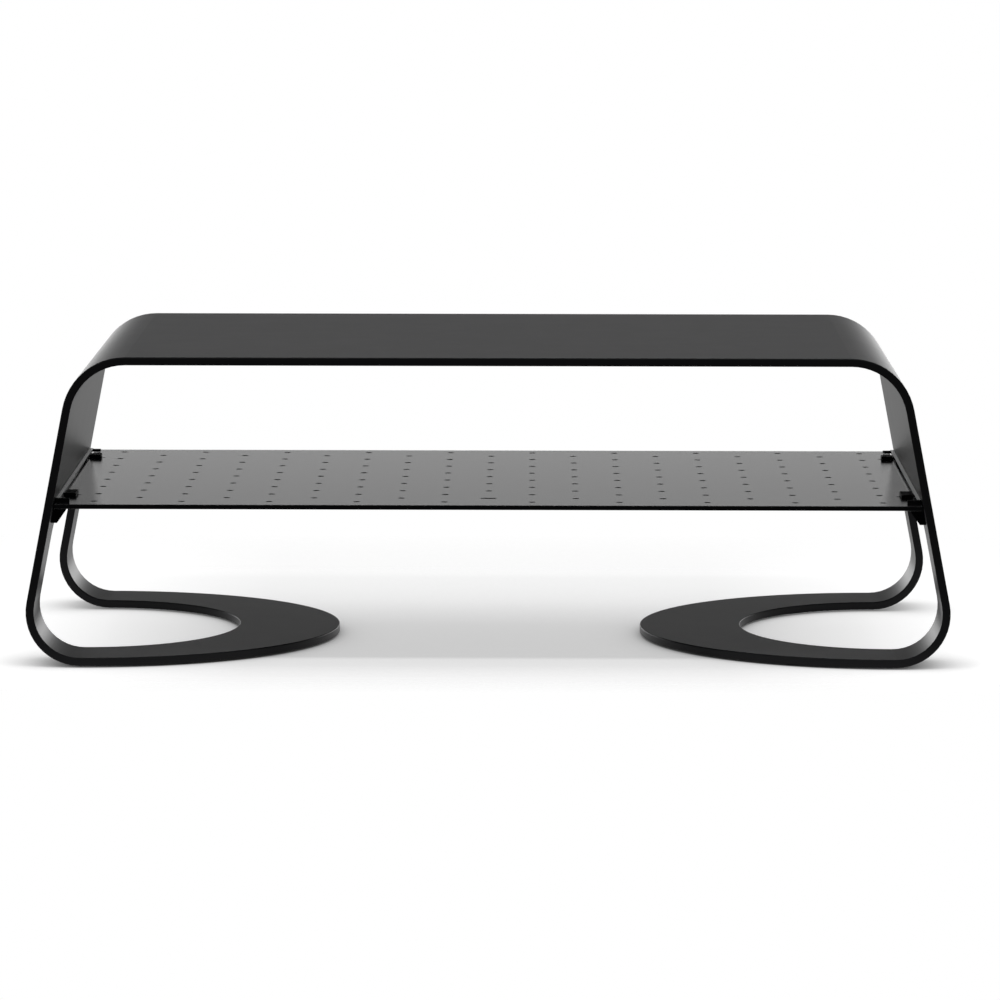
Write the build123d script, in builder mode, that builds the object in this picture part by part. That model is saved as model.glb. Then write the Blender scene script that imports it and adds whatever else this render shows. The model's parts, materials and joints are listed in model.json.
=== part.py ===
"""Monitor riser stand: a bent steel ribbon frame with a perforated shelf that slides out.

The stand rests on the XY plane. +X is to the right, +Y to the back and +Z up, and the
origin is the centre of the footprint at desk level. All sizes are in millimetres.
"""
import os
from math import cos, radians, sin

from build123d import *

# ---- Driving dimensions of the frame ------------------------------------------------------
overall_width = 500.0
overall_depth = 246.0
overall_height = 169.0
plate = 4.4  # thickness of the frame's steel
leg_lean = 10.9  # degrees that each leg leans in from the vertical
top_bend_radius = 34.5  # outside radii of the bends
foot_bend_radius = 29.0
toe_gap = 169.0  # between the tips of the two feet
edge_round = 0.6  # rounding of the cut edges

cutout_width = 170.0
foot_cutout_length = 80.0  # from the lower bend's tangent line to the cutout's apex
leg_cutout_top = 76.5
leg_cutout_corner = 10.0

pad_thickness = 1.0
pad_width = 16.0
side_pad_length = 60.0
side_pad_centre = (190.0, 100.0)
toe_pad_length = 70.0
toe_pad_x = 115.0

# ---- Driving dimensions of the shelf ------------------------------------------------------
shelf_top = 89.0
shelf_thickness = 2.5
shelf_depth = 243.0
shelf_edge_round = 0.4
ear_depth = 12.15  # front strip that reaches out to the legs, ahead of the brackets
hole_diameter = 3.8
hole_column_pitch = 23.75
hole_row_pitch = 31.0
long_columns = 10  # columns of 8 holes, with columns of 7 holes midway between them
long_column_holes = 8
hole_front_margin = 14.0
centre_slot_length = 9.0

# limits along X and Y of the small blocks at the corners: stops on the shelf at the front, and
# hold-downs on the brackets' flanges at the rear, where the shelf slides out from under them
front_stop = ((226.7, 233.9), (-111.5, -109.35))
front_stop_height = 2.0
hold_down_reach = 227.6
hold_down_y = (107.5, 111.5)
hold_down_thickness = 1.3

# ---- Driving dimensions of the side brackets and their screws -----------------------------
bracket_sheet = 2.25
bracket_top = 91.0
bracket_bottom = 77.2
bracket_front = -109.0
bracket_back = 112.0
ledge_thickness = 1.5
ledge_edge = 228.6  # X of the ledge's free edge
groove_depth = 1.3  # groove along the flange, which the catch tongues run in
groove_under_shelf_top = 0.1
groove_lip = 0.7
gusset_thickness = 3.0
gusset_foot_x = 233.7  # X where the gussets' slope meets their flat foot
flange_chamfer = 0.25  # on the top edge that lies against the leg
gusset_ys = (-107.5, -64.0, -2.0, 60.0, 110.5)
glide_thickness = 0.5
glide_width = 3.4
glide_end_gap = 1.0

screw_ys = (-96.0, -32.0, 28.0, 92.0)
screw_z = 80.9  # height of the screw axes where they leave the bracket
screw_radius = 1.48
screw_hole_radius = 1.5
screw_pass_radius = 1.6
screw_head_radius = 2.7
screw_sink_radius = 2.8
screw_reach = 2.6  # depth of the screws in the leg
screw_hole_depth = 3.0
screw_socket_radius = 1.0
screw_socket_depth = 0.9

# ---- Driving dimensions of the catches ----------------------------------------------------
# each with its place and its width along Y
catches = {"front": (-81.5, 16.5), "rear": (83.5, 8.5)}
catch_outer_x = 231.3
catch_length = 6.4
catch_height = 2.0
catch_travel = 2.6
catch_edge_round = 0.4
tongue_width = 4.4
tongue_tip = 233.1
tongue_base = 0.25  # above the shelf
tongue_thickness = 0.75
stem_x = 226.3
stem_radius = 1.0
pin_radius = 0.7
pin_head_radius = 0.95
pin_head_height = 0.6
retainer_radius = 1.85
retainer_bore_radius = 0.75
retainer_thickness = 0.8
retainer_gap = 0.2

clear = 0.35  # gap between pieces that move past each other
fit = 0.1  # gap around the catches in their slots

# ---- Derived places -----------------------------------------------------------------------
lean = radians(leg_lean)
half_width = overall_width / 2
half_depth = overall_depth / 2
foot_bend_x = half_width - foot_bend_radius  # centre line of the lower bend
foot_bend_z = pad_thickness + foot_bend_radius
top_bend_z = overall_height - top_bend_radius
foot_length = foot_bend_x - toe_gap / 2
shelf_under = shelf_top - shelf_thickness
shelf_front = -shelf_depth / 2
ledge_top = shelf_under - glide_thickness
ledge_under = ledge_top - ledge_thickness
flange_inset = plate + bracket_sheet


def leg_x(z, inset):
    """X at height z of a plane parallel to the right leg, inset from the leg's outer face."""
    return foot_bend_x + (foot_bend_radius - inset - (z - foot_bend_z) * sin(lean)) / cos(lean)


top_bend_x = leg_x(top_bend_z, foot_bend_radius) + (foot_bend_radius - top_bend_radius) / cos(lean)
panel_end = leg_x(shelf_top, flange_inset) - clear
ear_end = leg_x(shelf_top, plate) - clear

os.makedirs("parts", exist_ok=True)


def save(part, name):
    """Label a finished piece and write its STEP file."""
    part.label = name
    export_step(part, f"parts/{name}.step")


def save_pair(right_part, name):
    """Write a right-hand piece and its mirror image for the left side."""
    with BuildPart() as left:
        mirror(right_part, about=Plane.YZ)
    save(right_part, f"right_{name}")
    save(left.part, f"left_{name}")


def block(x_span, y_span, z_span):
    """A box given by its limits along each axis, for the part being built."""
    spans = (x_span, y_span, z_span)
    with Locations(tuple(sum(span) / 2 for span in spans)):
        Box(*(span[1] - span[0] for span in spans))


def stretch(centre, width):
    """Limits of a stretch of the given width about its centre."""
    return (centre - width / 2, centre + width / 2)


def screw_seats(side, inset):
    """Planes across the screw axes of one side, facing inboard, inset from the leg's outer face."""
    along = flange_inset - inset
    x = leg_x(screw_z, flange_inset) + along * cos(lean)
    z = screw_z + along * sin(lean)
    facing = (-side * cos(lean), 0, -sin(lean))
    return [Plane(origin=(side * x, y, z), z_dir=facing) for y in screw_ys]


# ---- Riser frame: one bent ribbon from toe to toe -----------------------------------------
def bend(centre_x, centre_z, radius, start, end):
    """Three points of an arc about a bend's centre, from one angle to another in degrees."""
    angles = (start, (start + end) / 2, end)
    return [(centre_x + radius * cos(radians(a)), centre_z + radius * sin(radians(a))) for a in angles]


def ribbon_surface(inset):
    """The two arcs of one surface of the ribbon's right half: the top bend and the foot bend."""
    top_arc = bend(top_bend_x, top_bend_z, top_bend_radius - inset, 90, leg_lean)
    foot_arc = bend(foot_bend_x, foot_bend_z, foot_bend_radius - inset, leg_lean, -90)
    return top_arc, foot_arc


def is_cut_edge(edge):
    """True for the rims of the cut plate, false for the seams where two faces run smoothly on.

    The seams lie along the depth, at the ends of the bends, or across the plate's thickness.
    The top of each leg's cutout is the one rim that lies along the depth.
    """
    size = edge.bounding_box().size
    along_depth = max(size.X, size.Z) < edge_round / 10
    at_cutout_top = abs(edge.center().Z - leg_cutout_top) < edge_round
    across_plate = edge.length < plate + edge_round
    return not across_plate and (at_cutout_top or not along_depth)


outer_top, outer_foot = ribbon_surface(0)
inner_top, inner_foot = ribbon_surface(plate)

with BuildPart() as riser_frame:
    with BuildSketch(Plane.XZ.offset(-half_depth)):
        with BuildLine():
            Line((0, overall_height), outer_top[0])
            ThreePointArc(*outer_top)
            Line(outer_top[2], outer_foot[0])
            ThreePointArc(*outer_foot)
            Line(outer_foot[2], inner_foot[2])
            ThreePointArc(*reversed(inner_foot))
            Line(inner_foot[0], inner_top[2])
            ThreePointArc(*reversed(inner_top))
            Line(inner_top[0], (0, overall_height - plate))
            Line((0, overall_height - plate), (0, overall_height))
        make_face()
        mirror(about=Plane.YZ)
    extrude(amount=overall_depth)
    # feet: half ellipses that point inwards, each with a half-elliptical end to its cutout
    with BuildSketch(Plane.XY.offset(pad_thickness)):
        with Locations((foot_bend_x, 0), (-foot_bend_x, 0)):
            Ellipse(foot_length, half_depth)
        Rectangle(2 * foot_bend_x, overall_depth, mode=Mode.INTERSECT)
        with Locations((foot_bend_x, 0), (-foot_bend_x, 0)):
            Ellipse(foot_cutout_length, cutout_width / 2, mode=Mode.SUBTRACT)
    extrude(amount=plate)
    # the cutouts' straight stretch, up through the lower bends and the legs
    for side in (1, -1):
        with BuildSketch(Plane.YZ.offset(side * foot_bend_x)) as leg_cutout:
            with Locations((0, leg_cutout_top / 2)):
                Rectangle(cutout_width, leg_cutout_top)
            fillet(leg_cutout.vertices().group_by(Axis.Y)[-1], leg_cutout_corner)
        extrude(amount=side * (foot_bend_radius + plate), mode=Mode.SUBTRACT)
    fillet(riser_frame.edges().filter_by(is_cut_edge), edge_round)
    # threaded holes for the bracket screws, blind from inside the legs
    for side in (1, -1):
        with Locations(*screw_seats(side, plate)):
            Hole(screw_hole_radius, depth=screw_hole_depth)
save(riser_frame.part, "riser_frame")

# ---- Foot pads ----------------------------------------------------------------------------
for name, side in (("front", -1), ("rear", 1)):
    with BuildPart() as side_pad:
        with BuildSketch(Plane.XY):
            with Locations((side_pad_centre[0], side * side_pad_centre[1])):
                SlotOverall(side_pad_length, pad_width)
        extrude(amount=pad_thickness)
    save_pair(side_pad.part, f"{name}_foot_pad")

with BuildPart() as toe_pad:
    with BuildSketch(Plane.XY):
        with Locations((toe_pad_x, 0)):
            SlotOverall(toe_pad_length, pad_width, rotation=90)
    extrude(amount=pad_thickness)
save_pair(toe_pad.part, "toe_foot_pad")

# ---- Side brackets: a flange on the leg, a ledge under the shelf and gussets --------------
groove_inset = flange_inset - groove_depth
groove_floor = shelf_top - groove_under_shelf_top
groove_roof = bracket_top - groove_lip

with BuildPart() as bracket:
    with BuildSketch(Plane.XZ.offset(-bracket_back)):
        with BuildLine():
            Polyline(
                (leg_x(bracket_bottom, plate), bracket_bottom),
                (leg_x(bracket_top - flange_chamfer, plate), bracket_top - flange_chamfer),
                (leg_x(bracket_top, plate) - flange_chamfer, bracket_top),
                (leg_x(bracket_top, flange_inset), bracket_top),
                (leg_x(groove_roof, flange_inset), groove_roof),
                (leg_x(groove_roof, groove_inset), groove_roof),
                (leg_x(groove_floor, groove_inset), groove_floor),
                (leg_x(groove_floor, flange_inset), groove_floor),
                (leg_x(ledge_top, flange_inset), ledge_top),
                (ledge_edge, ledge_top),
                (ledge_edge, ledge_under),
                (leg_x(ledge_under, flange_inset), ledge_under),
                (leg_x(bracket_bottom, flange_inset), bracket_bottom),
                close=True,
            )
        make_face()
    extrude(amount=bracket_back - bracket_front)
    for y in gusset_ys:
        with BuildSketch(Plane.XZ.offset(-y - gusset_thickness / 2)):
            with BuildLine():
                Polyline(
                    (ledge_edge, ledge_under),
                    (leg_x(ledge_under, flange_inset), ledge_under),
                    (leg_x(bracket_bottom, flange_inset), bracket_bottom),
                    (gusset_foot_x, bracket_bottom),
                    close=True,
                )
            make_face()
        extrude(amount=gusset_thickness)
    with Locations(*screw_seats(1, flange_inset)):
        CounterSinkHole(screw_pass_radius, screw_sink_radius, depth=2 * bracket_sheet)
save_pair(bracket.part, "bracket")

# ---- Bracket screws: countersunk, with a hexagon socket -----------------------------------
head_height = screw_head_radius - screw_radius
seats = screw_seats(1, flange_inset)
to_top = (Align.CENTER, Align.CENTER, Align.MAX)

with BuildPart() as bracket_screws:
    with Locations(*seats):
        Cone(screw_radius, screw_head_radius, head_height, align=to_top)
        Cylinder(screw_radius, bracket_sheet + screw_reach, align=to_top)
    with BuildSketch(*seats):
        RegularPolygon(screw_socket_radius, 6)
    extrude(amount=-screw_socket_depth, mode=Mode.SUBTRACT)
save_pair(bracket_screws.part, "bracket_screws")

# ---- Glide strips: slippery tape on the ledges --------------------------------------------
with BuildPart() as glide_strip:
    glide_x = stretch((ledge_edge + leg_x(shelf_under, flange_inset)) / 2, glide_width)
    glide_y = (bracket_front + glide_end_gap, bracket_back - glide_end_gap)
    block(glide_x, glide_y, (ledge_top, shelf_under))
save_pair(glide_strip.part, "glide_strip")

# ---- Shelf panel --------------------------------------------------------------------------
hole_radius = hole_diameter / 2
hole_centre_y = shelf_front + hole_front_margin + hole_row_pitch * (long_column_holes - 1) / 2
centre_slot_y = shelf_front + hole_front_margin + hole_row_pitch / 2
slot_x = stem_x - catch_travel / 2

with BuildPart() as shelf_panel:
    with BuildSketch(Plane.XY.offset(shelf_under)):
        Rectangle(2 * panel_end, shelf_depth)
        with Locations((0, shelf_front + ear_depth / 2)):
            Rectangle(2 * ear_end, ear_depth)
    extrude(amount=shelf_thickness)
    outline = shelf_panel.edges().filter_by(Axis.Z, reverse=True)
    fillet(outline, shelf_edge_round)
    with BuildSketch(Plane.XY.offset(shelf_under)):
        with Locations((0, hole_centre_y)):
            with GridLocations(2 * hole_column_pitch, hole_row_pitch, long_columns, long_column_holes):
                Circle(hole_radius)
            with GridLocations(2 * hole_column_pitch, hole_row_pitch, long_columns - 1, long_column_holes - 1):
                Circle(hole_radius)
        # the foremost hole of the middle column is drawn out into a slot
        with Locations((0, centre_slot_y)):
            SlotOverall(centre_slot_length, hole_diameter)
        # slots for the stems of the four catches
        with Locations(*((side * slot_x, y) for side in (1, -1) for y, _ in catches.values())):
            SlotCenterToCenter(catch_travel, 2 * (stem_radius + fit))
    extrude(amount=shelf_thickness, mode=Mode.SUBTRACT)
save(shelf_panel.part, "shelf_panel")

# ---- Front stops: low blocks on the shelf that meet the brackets' front ends --------------
with BuildPart() as stop:
    block(*front_stop, (shelf_top, shelf_top + front_stop_height))
save_pair(stop.part, "front_stop")

# ---- Hold-downs: fingers on the flanges that reach over the shelf's rear corners ----------
hold_down_base = shelf_top + clear
hold_down_top = hold_down_base + hold_down_thickness

with BuildPart() as hold_down:
    with BuildSketch(Plane.XZ.offset(-hold_down_y[1])):
        with BuildLine():
            # the root fills the flange's groove up to its roof
            Polyline(
                (hold_down_reach, hold_down_base),
                (leg_x(hold_down_base, groove_inset), hold_down_base),
                (leg_x(groove_roof, groove_inset), groove_roof),
                (leg_x(groove_roof, flange_inset), groove_roof),
                (leg_x(hold_down_top, flange_inset), hold_down_top),
                (hold_down_reach, hold_down_top),
                close=True,
            )
        make_face()
    extrude(amount=hold_down_y[1] - hold_down_y[0])
save_pair(hold_down.part, "rear_hold_down")

# ---- Catches and their retainers ----------------------------------------------------------
retainer_top = shelf_under - retainer_gap
retainer_bottom = retainer_top - retainer_thickness
pin_head_top = retainer_bottom - fit / 2
to_bottom = (Align.CENTER, Align.CENTER, Align.MIN)

for name, (y, width) in catches.items():
    with BuildPart() as catch:
        catch_z = (shelf_top + fit, shelf_top + catch_height)
        block((catch_outer_x - catch_length, catch_outer_x), stretch(y, width), catch_z)
        fillet(catch.edges().group_by(Axis.Z)[-1], catch_edge_round)
        tongue_z = (shelf_top + tongue_base, shelf_top + tongue_base + tongue_thickness)
        block((catch_outer_x, tongue_tip), stretch(y, tongue_width), tongue_z)
        with Locations((stem_x, y, catch_z[0])):
            Cylinder(stem_radius, catch_z[0] - retainer_top, align=to_top)
        with Locations((stem_x, y, retainer_top)):
            Cylinder(pin_radius, retainer_top - pin_head_top, align=to_top)
        with Locations((stem_x, y, pin_head_top)):
            Cylinder(pin_head_radius, pin_head_height, align=to_top)
    save_pair(catch.part, f"{name}_catch")

    with BuildPart() as retainer:
        with Locations((stem_x, y, retainer_bottom)):
            Cylinder(retainer_radius, retainer_thickness, align=to_bottom)
            Cylinder(retainer_bore_radius, retainer_thickness, align=to_bottom, mode=Mode.SUBTRACT)
    save_pair(retainer.part, f"{name}_catch_retainer")
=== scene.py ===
"""Looks of the monitor riser stand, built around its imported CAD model. Units are metres."""
import json
from math import radians

import bpy
from mathutils import Matrix

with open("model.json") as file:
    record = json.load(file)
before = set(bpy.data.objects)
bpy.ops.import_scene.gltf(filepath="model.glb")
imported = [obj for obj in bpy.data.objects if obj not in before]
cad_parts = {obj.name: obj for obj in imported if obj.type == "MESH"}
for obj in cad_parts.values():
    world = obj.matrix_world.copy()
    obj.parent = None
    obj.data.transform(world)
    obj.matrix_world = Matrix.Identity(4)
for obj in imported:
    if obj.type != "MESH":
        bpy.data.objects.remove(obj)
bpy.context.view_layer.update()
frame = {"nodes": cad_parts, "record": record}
nodes = frame["nodes"]

# ---- Camera -------------------------------------------------------------------------------
camera_place = (0.0255, -2.976, 0.4707)
camera_turn = 0.382  # degrees to the left
camera_dip = 7.557  # degrees below the horizon
camera_roll = 0.089
camera_lens = 192.34  # millimetres, as is the sensor
camera_sensor = 36.0
camera_reach = 50.0

camera_data = bpy.data.cameras.new("camera")
camera_data.lens = camera_lens
camera_data.sensor_width = camera_sensor
camera_data.clip_end = camera_reach
camera = bpy.data.objects.new("camera", camera_data)
bpy.context.scene.collection.objects.link(camera)
camera.matrix_world = (
    Matrix.Translation(camera_place)
    @ Matrix.Rotation(radians(camera_turn), 4, "Z")
    @ Matrix.Rotation(radians(90 - camera_dip), 4, "X")
    @ Matrix.Rotation(radians(camera_roll), 4, "Z")
)
bpy.context.scene.camera = camera
bpy.context.scene.view_settings.view_transform = "Standard"


# ---- Node helpers -------------------------------------------------------------------------
class Nodes:
    """A node tree, with short calls for the nodes that are used often."""

    def __init__(self, tree):
        self.tree = tree

    def add(self, kind, **settings):
        node = self.tree.nodes.new(kind)
        for key, value in settings.items():
            setattr(node, key, value)
        return node

    def link(self, source, target):
        self.tree.links.new(source, target)

    def parts(self, vector):
        """The X, Y and Z of a vector."""
        split = self.add("ShaderNodeSeparateXYZ")
        self.link(vector, split.inputs["Vector"])
        return split.outputs

    def maths(self, operation, value, other=None):
        node = self.add("ShaderNodeMath", operation=operation)
        self.link(value, node.inputs[0])
        if other is not None:
            self.link(other, node.inputs[1])
        return node.outputs["Value"]

    def spread(self, value, low, high, start=0.3, end=0.7, interpolation="LINEAR"):
        """The value stretched from the range start to end on to the range low to high.

        Most values of a noise pattern lie between the preset start and end.
        """
        stretched = self.add("ShaderNodeMapRange", interpolation_type=interpolation)
        self.link(value, stretched.inputs["Value"])
        stretched.inputs["From Min"].default_value = start
        stretched.inputs["From Max"].default_value = end
        stretched.inputs["To Min"].default_value = low
        stretched.inputs["To Max"].default_value = high
        return stretched.outputs["Result"]

    def choose(self, share, first, second):
        """A shader between two others, by a share from 0 to 1."""
        mixed = self.add("ShaderNodeMixShader")
        self.link(share, mixed.inputs["Fac"])
        self.link(first, mixed.inputs[1])
        self.link(second, mixed.inputs[2])
        return mixed.outputs["Shader"]


class Material(Nodes):
    """A material with its own node tree."""

    def __init__(self, name, gleam=0.5):
        self.material = bpy.data.materials.new(name)
        self.material.use_nodes = True
        super().__init__(self.material.node_tree)
        self.shader = self.tree.nodes["Principled BSDF"]
        self.shader.inputs["Specular IOR Level"].default_value = gleam

    def noise(self, scale, detail=2.0):
        """Values of a noise pattern fixed to the object, scale in cycles per metre."""
        place = self.add("ShaderNodeTexCoord")
        pattern = self.add("ShaderNodeTexNoise")
        pattern.inputs["Scale"].default_value = scale
        pattern.inputs["Detail"].default_value = detail
        self.link(place.outputs["Object"], pattern.inputs["Vector"])
        return pattern.outputs["Fac"]

    def tint(self, scale, first, second):
        """A base colour that wanders between two colours."""
        mixed = self.add("ShaderNodeMix", data_type="RGBA")
        self.link(self.spread(self.noise(scale, detail=3.0), 0.0, 1.0), mixed.inputs["Factor"])
        mixed.inputs["A"].default_value = (*first, 1)
        mixed.inputs["B"].default_value = (*second, 1)
        self.link(mixed.outputs["Result"], self.shader.inputs["Base Color"])

    def uneven_roughness(self, scale, roughness, change):
        """A roughness that wanders up and down by a share of itself."""
        wander = self.spread(self.noise(scale), roughness * (1 - change), roughness * (1 + change))
        self.link(wander, self.shader.inputs["Roughness"])

    def bumps(self, *layers):
        """Bump layers, each a height pattern with its depth in metres."""
        normal = None
        for height, depth in layers:
            bump = self.add("ShaderNodeBump")
            bump.inputs["Distance"].default_value = depth
            self.link(height, bump.inputs["Height"])
            if normal is not None:
                self.link(normal, bump.inputs["Normal"])
            normal = bump.outputs["Normal"]
        self.link(normal, self.shader.inputs["Normal"])


def scaled(colour, share):
    """A colour made lighter or darker."""
    return tuple(channel * share for channel in colour)


# ---- Powder coat --------------------------------------------------------------------------
coat_gleam = 0.08
coat_tone_scale = 9.0
coat_lightest = 1.12  # of the coat's colour
coat_gloss_scale = 55.0
coat_gloss_changes = (0.99, 1.01)
coat_level_range = (0.5, 0.98)  # from upright to level, as the upright part of the normal
peel_scale = 420.0
coat_grain_scale = 2600.0


def powder_coat(name, colour, upright_roughness, level_roughness, peel_depth, grain_depth):
    """Baked powder coat: soft orange peel, a fine grain, and slight changes of tone and gloss.

    The coat settles rougher on level faces than on upright ones.
    """
    coat = Material(name, coat_gleam)
    coat.tint(coat_tone_scale, colour, scaled(colour, coat_lightest))
    normal = coat.add("ShaderNodeNewGeometry").outputs["Normal"]
    level = coat.maths("ABSOLUTE", coat.parts(normal)["Z"])
    settled = coat.spread(level, upright_roughness, level_roughness, *coat_level_range)
    wander = coat.spread(coat.noise(coat_gloss_scale), *coat_gloss_changes)
    coat.link(coat.maths("MULTIPLY", settled, wander), coat.shader.inputs["Roughness"])
    coat.bumps((coat.noise(peel_scale), peel_depth), (coat.noise(coat_grain_scale), grain_depth))
    return coat.material


# ---- Plastic, silicone and tape -----------------------------------------------------------
plastic_gleam = 0.1
plastic_tone_scale = 60.0
plastic_darkest = 0.8  # of the plastic's colour
plastic_gloss_scale = 700.0
plastic_gloss_change = 0.1
plastic_grain_scale = 2500.0


def plastic(name, colour, roughness, grain_depth):
    """Moulded plastic or rubber with a fine spark-eroded grain."""
    moulded = Material(name, plastic_gleam)
    moulded.tint(plastic_tone_scale, scaled(colour, plastic_darkest), colour)
    moulded.uneven_roughness(plastic_gloss_scale, roughness, plastic_gloss_change)
    moulded.bumps((moulded.noise(plastic_grain_scale, detail=4.0), grain_depth))
    return moulded.material


# ---- Small steel parts --------------------------------------------------------------------
steel_tone_scale = 900.0
steel_lightest = 1.3  # of the steel's colour
steel_gloss_scale = 1500.0
steel_gloss_change = 0.2
steel_grain_scale = 3000.0
steel_grain_depth = 0.00001


def steel(name, colour, roughness):
    """Bare or blackened steel with a fine grain."""
    metal = Material(name)
    metal.shader.inputs["Metallic"].default_value = 1.0
    metal.tint(steel_tone_scale, colour, scaled(colour, steel_lightest))
    metal.uneven_roughness(steel_gloss_scale, roughness, steel_gloss_change)
    metal.bumps((metal.noise(steel_grain_scale), steel_grain_depth))
    return metal.material


# ---- Materials of the nodes ---------------------------------------------------------------
coat_black = (0.0115, 0.0115, 0.0122)
shelf_black = (0.006, 0.006, 0.0065)
nylon_black = (0.004, 0.004, 0.0042)
silicone_black = (0.02, 0.02, 0.021)
tape_white = (0.5, 0.5, 0.48)
oxide_black = (0.06, 0.06, 0.06)
spring_grey = (0.5, 0.5, 0.51)

looks = {
    "frame_coat": powder_coat("frame_coat", coat_black, 0.30, 0.40, 0.000005, 0.000003),
    "shelf_coat": powder_coat("shelf_coat", shelf_black, 0.17, 0.17, 0.000004, 0.000002),
    "bracket_coat": powder_coat("bracket_coat", shelf_black, 0.17, 0.17, 0.000004, 0.000002),
    "catch_nylon": plastic("catch_nylon", nylon_black, 0.7, 0.00003),
    "pad_silicone": plastic("pad_silicone", silicone_black, 0.7, 0.00002),
    "glide_tape": plastic("glide_tape", tape_white, 0.4, 0.00001),
    "screw_steel": steel("screw_steel", oxide_black, 0.4),
    "retainer_steel": steel("retainer_steel", spring_grey, 0.3),
}
for subpart in frame["record"]["subparts"]:
    node = nodes[subpart["node"]]
    node.data.materials.clear()
    node.data.materials.append(looks[subpart["material_slot"]])

# ---- Floor --------------------------------------------------------------------------------
# The floor's emission is painted light: a white glow in place of the light falling on it, brighter
# at the sides, with painted contact shadow near the stand.
floor_left, floor_right = -0.8, 0.8
floor_front, floor_back = -0.20, 0.49
floor_front_fade = (-0.20, -0.115)  # Y, from clear to full
floor_back_fade = (0.03, 0.40)  # Y, from full to clear
floor_side_fade = (0.40, 0.80)  # distance to either side, from full to clear
floor_painted_light_levels = (0.55, 0.74)  # painted light: how strongly the floor glows in place of light falling on it, in the middle and as a brighter painted pool at the sides
floor_painted_pool_places = (0.13, 0.22)  # distance to either side
floor_white = 0.50
painted_shade_reach = 0.03  # painted contact shadow: what stands closer than this above the floor takes the floor's painted glow away
painted_shade_samples = 16

floor_corners = [
    (floor_left, floor_front, 0),
    (floor_right, floor_front, 0),
    (floor_right, floor_back, 0),
    (floor_left, floor_back, 0),
]
floor_data = bpy.data.meshes.new("floor")
floor_data.from_pydata(floor_corners, [], [(0, 1, 2, 3)])
floor = bpy.data.objects.new("floor", floor_data)
bpy.context.scene.collection.objects.link(floor)

paint = Material("floor", gleam=0.0)
paint.shader.inputs["Base Color"].default_value = (floor_white, floor_white, floor_white, 1)
paint.shader.inputs["Roughness"].default_value = 1.0
paint.shader.inputs["Emission Color"].default_value = (1, 1, 1, 1)
floor_place = paint.parts(paint.add("ShaderNodeTexCoord").outputs["Object"])
aside = paint.maths("ABSOLUTE", floor_place["X"])

# Painted contact shadow: ambient occlusion dims the floor's glow where the stand comes close to it.
painted_contact_shade = paint.add("ShaderNodeAmbientOcclusion", samples=painted_shade_samples)
painted_contact_shade.inputs["Distance"].default_value = painted_shade_reach
# Painted pool of light: the floor's glow grows stronger toward the sides.
painted_light_pool = paint.spread(aside, *floor_painted_light_levels, *floor_painted_pool_places)
painted_floor_light = paint.maths("MULTIPLY", painted_contact_shade.outputs["AO"], painted_light_pool)
paint.link(painted_floor_light, paint.shader.inputs["Emission Strength"])

front_part = paint.spread(floor_place["Y"], 0.0, 1.0, *floor_front_fade)
back_part = paint.spread(floor_place["Y"], 1.0, 0.0, *floor_back_fade)
side_part = paint.spread(aside, 1.0, 0.0, *floor_side_fade)
floor_part = paint.maths("MULTIPLY", paint.maths("MULTIPLY", front_part, back_part), side_part)
clear = paint.add("ShaderNodeBsdfTransparent").outputs["BSDF"]
faded = paint.choose(floor_part, clear, paint.shader.outputs["BSDF"])
paint.link(faded, paint.tree.nodes["Material Output"].inputs["Surface"])
floor_data.materials.append(paint.material)

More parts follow.
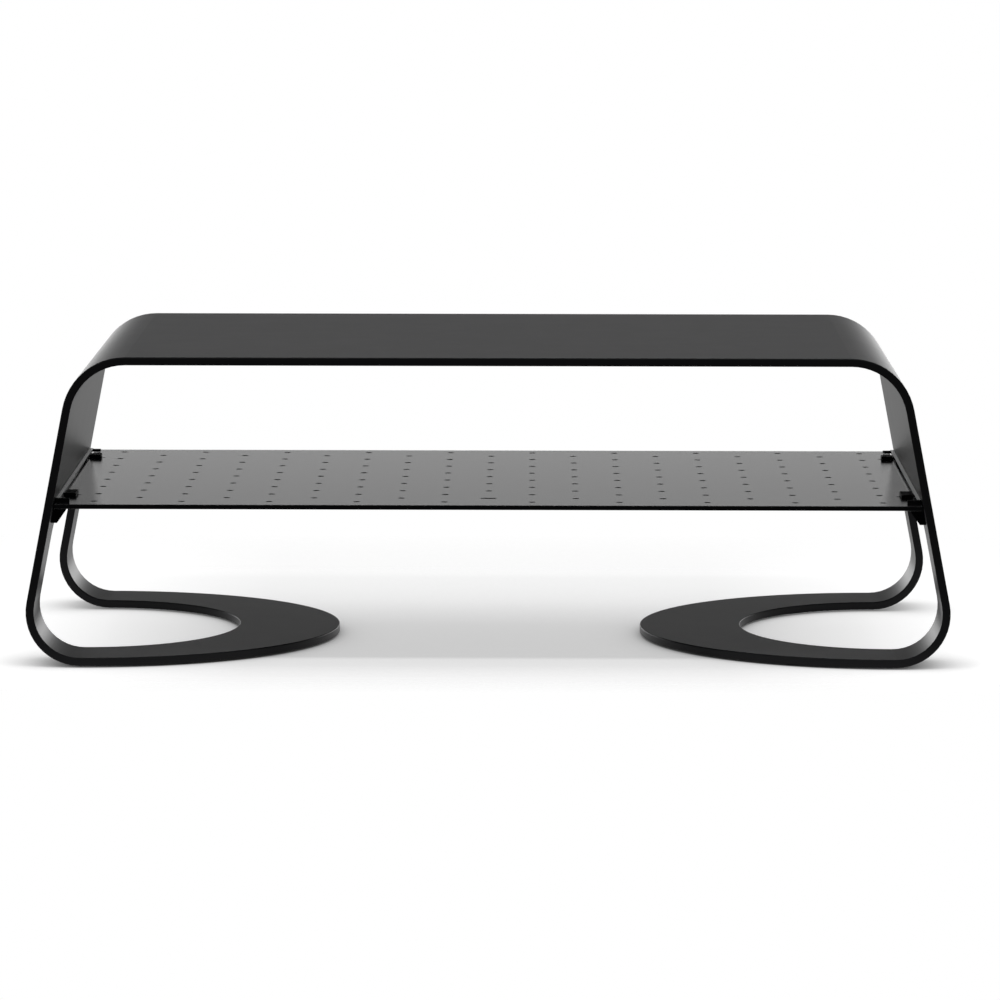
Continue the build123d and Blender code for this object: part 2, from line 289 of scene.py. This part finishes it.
# ---- Studio around the object -------------------------------------------------------------
# Reflections see a dark room with a bright low wall at the back. Matt surfaces are lit evenly
# from all sides but the front. The camera sees plain white.
behind = (0.30, 0.90)  # from front to back, as the Y part of the direction
wall_level = 3.0
sky_level = 0.10
wall_heights = (-0.02, 0.20)  # from wall to sky, as the Z part of the direction
wall_rises = (0.0, 0.35)  # how much higher the wall stands, straight behind and far to the sides
rise_places = (0.16, 0.60)  # as the X part of the direction
ground_share = 0.22  # of the wall, below the horizon
ground_heights = (-0.12, -0.02)
front_levels = (0.015, 0.5)  # of the room in front, low down and high up
front_heights = (0.15, 0.45)
matt_levels = (0.1, 1.05)  # for matt surfaces, in front and behind
matt_behind = (-0.5, 0.0)

world = bpy.data.worlds.new("studio")
bpy.context.scene.world = world
world.use_nodes = True
studio = Nodes(world.node_tree)
toward = studio.parts(studio.add("ShaderNodeTexCoord").outputs["Generated"])


def glow(strength):
    """A white background whose strength is a node's value."""
    background = studio.add("ShaderNodeBackground")
    studio.link(strength, background.inputs["Strength"])
    return background.outputs["Background"]


rise = studio.spread(studio.maths("ABSOLUTE", toward["X"]), *wall_rises, *rise_places)
height = studio.maths("SUBTRACT", toward["Z"], rise)
wall = studio.spread(height, wall_level, sky_level, *wall_heights, interpolation="SMOOTHSTEP")
ground = studio.spread(toward["Z"], ground_share, 1.0, *ground_heights)
back_room = glow(studio.maths("MULTIPLY", wall, ground))
front_room = glow(studio.spread(toward["Z"], *front_levels, *front_heights))
back_share = studio.spread(toward["Y"], 0.0, 1.0, *behind, interpolation="SMOOTHSTEP")
reflected = studio.choose(back_share, front_room, back_room)
matt_light = glow(studio.spread(toward["Y"], *matt_levels, *matt_behind))

ray = studio.add("ShaderNodeLightPath").outputs
lighting = studio.choose(ray["Is Diffuse Ray"], reflected, matt_light)
plain_white = studio.tree.nodes["Background"]
plain_white.inputs["Color"].default_value = (1, 1, 1, 1)
surround = studio.choose(ray["Is Camera Ray"], lighting, plain_white.outputs["Background"])
studio.link(surround, studio.tree.nodes["World Output"].inputs["Surface"])

# ---- Key light ----------------------------------------------------------------------------
key_place = (0, -0.684, 1.5)
key_tilt = -24.0  # degrees about X
key_size = (1.6, 0.2)
key_power = 13.0

key_data = bpy.data.lights.new("key", "AREA")
key_data.shape = "RECTANGLE"
key_data.size, key_data.size_y = key_size
key_data.energy = key_power
key = bpy.data.objects.new("key", key_data)
key.location = key_place
key.rotation_euler = (radians(key_tilt), 0, 0)
key.visible_camera = False
bpy.context.scene.collection.objects.link(key)
